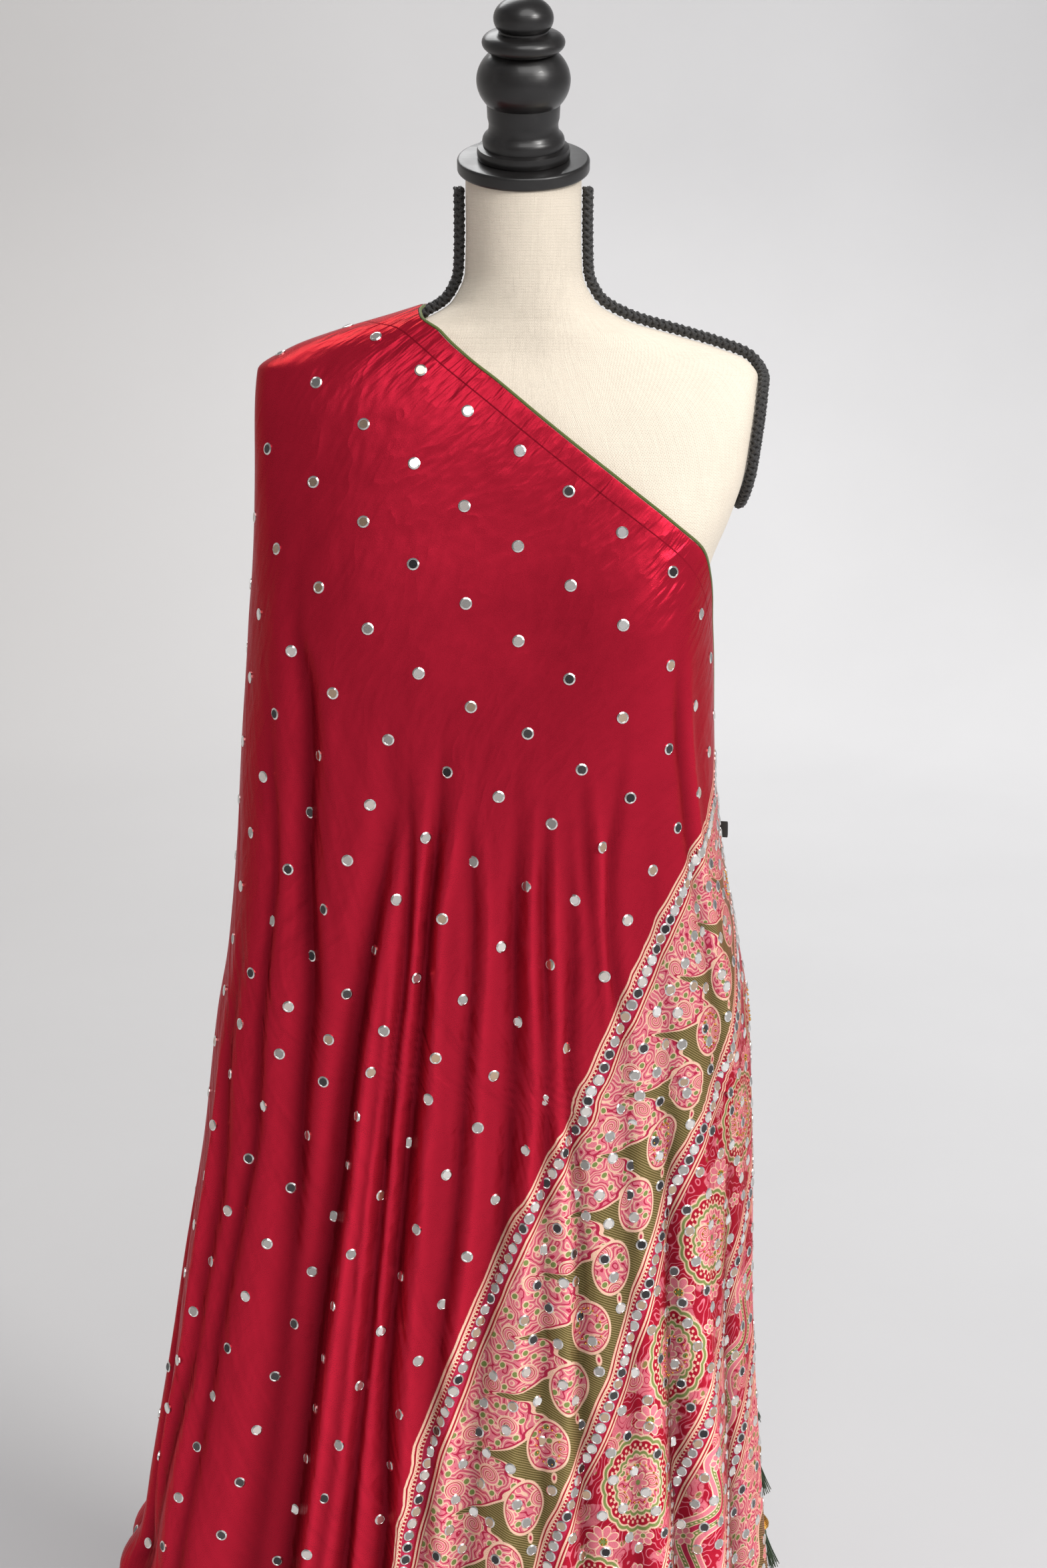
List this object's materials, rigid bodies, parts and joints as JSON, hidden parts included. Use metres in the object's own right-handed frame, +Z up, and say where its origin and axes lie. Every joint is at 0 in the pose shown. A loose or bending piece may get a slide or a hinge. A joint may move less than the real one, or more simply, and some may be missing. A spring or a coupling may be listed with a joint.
{
  "type": "draped ajrakh saree on a limbless dress form with stand",
  "caption": "Printed satin saree draped over one shoulder of a limbless linen dress form with a turned neck finial, on a pole and round base.",
  "frame": {"origin": "on the floor under the pole, at the middle of the round base's underside", "axes": "+Z up, -Y the front of the form, +X the viewer's right as seen from the front"},
  "size_m": [0.5675, 0.4215, 1.6289],
  "materials": {
    "linen": "plain woven cream linen, matt",
    "rope": "black braided cord, matt",
    "turned_wood": "black lacquered turned wood, satin",
    "pole_steel": "brushed tube",
    "crimson_satin": "crimson satin crepe with small round mirrors",
    "printed_satin": "ajrakh-printed satin crepe with small round mirrors",
    "moss_piping": "moss green bias piping",
    "black_tape": "blank black woven tape",
    "gold_wire": "coiled gold wire",
    "green_thread": "dark green rayon thread"
  },
  "bodies": {
    "root": {"form_torso": "linen", "form_rope_left": "rope", "form_rope_right": "rope", "form_neck_disc": "turned_wood", "form_neck_finial": "turned_wood", "stand_base": "turned_wood", "stand_pole": "pole_steel", "saree_front_stretch": "crimson_satin", "saree_back_stretch": "crimson_satin", "saree_skirt_wrap": "crimson_satin", "saree_pallu": "printed_satin", "edge_piping_front": "moss_piping", "edge_piping_back": "moss_piping", "edge_tab": "black_tape", "tassel_bead_01": "gold_wire", "tassel_bead_02": "gold_wire", "tassel_bead_03": "gold_wire", "tassel_bead_04": "gold_wire", "tassel_bead_05": "gold_wire", "tassel_bead_06": "gold_wire", "tassel_bead_07": "gold_wire", "tassel_bead_08": "gold_wire", "tassel_bead_09": "gold_wire", "tassel_bead_10": "gold_wire", "tassel_bead_11": "gold_wire", "tassel_bead_12": "gold_wire", "tassel_thread_01": "green_thread", "tassel_thread_02": "green_thread", "tassel_thread_03": "green_thread", "tassel_thread_04": "green_thread", "tassel_thread_05": "green_thread", "tassel_thread_06": "green_thread", "tassel_thread_07": "green_thread", "tassel_thread_08": "green_thread", "tassel_thread_09": "green_thread", "tassel_thread_10": "green_thread", "tassel_thread_11": "green_thread", "tassel_thread_12": "green_thread"}
  },
  "joints": []
}
